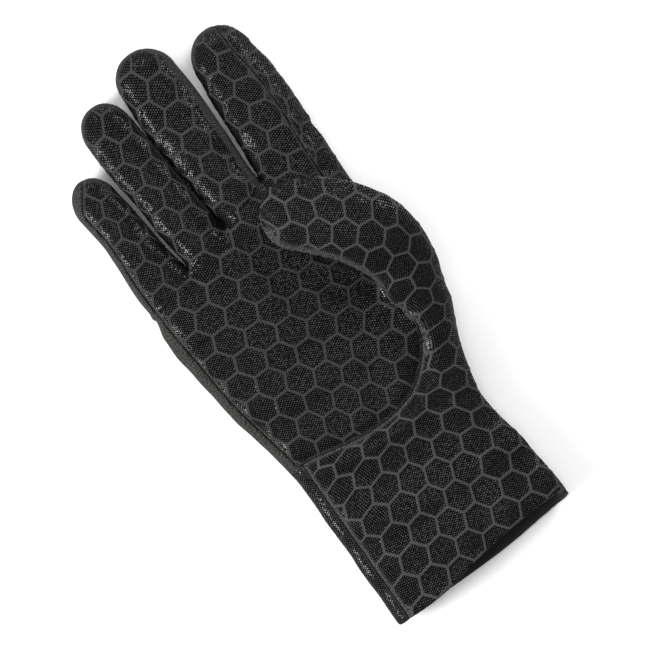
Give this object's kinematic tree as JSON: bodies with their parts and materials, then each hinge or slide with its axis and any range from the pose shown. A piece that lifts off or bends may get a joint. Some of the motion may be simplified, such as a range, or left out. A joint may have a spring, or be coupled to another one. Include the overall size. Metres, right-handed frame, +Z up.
{
  "type": "diving glove",
  "caption": "Long-cuffed right-hand diving glove of black neoprene with a printed hexagon grip, lying palm up with the thumb folded over the palm.",
  "frame": {"origin": "on the flat face under the middle of the palm, where the glove's back rests", "axes": "+X towards the thumb's side, +Y towards the fingertips, +Z up out of the palm"},
  "size_m": [0.135, 0.3097, 0.0485],
  "materials": {
    "printed_neoprene": "matte knitted cloth on foam rubber, printed with hexagons of small raised rubber dots that shine a little",
    "cut_edge": "matte black foam rubber and jersey lining, cut raw at the mouth of the cuff"
  },
  "bodies": {
    "root": {"palm_panel": "printed_neoprene", "back_panel": "printed_neoprene", "cuff_thumb_panel": "printed_neoprene", "thumb_inner_panel": "printed_neoprene"}
  },
  "joints": []
}
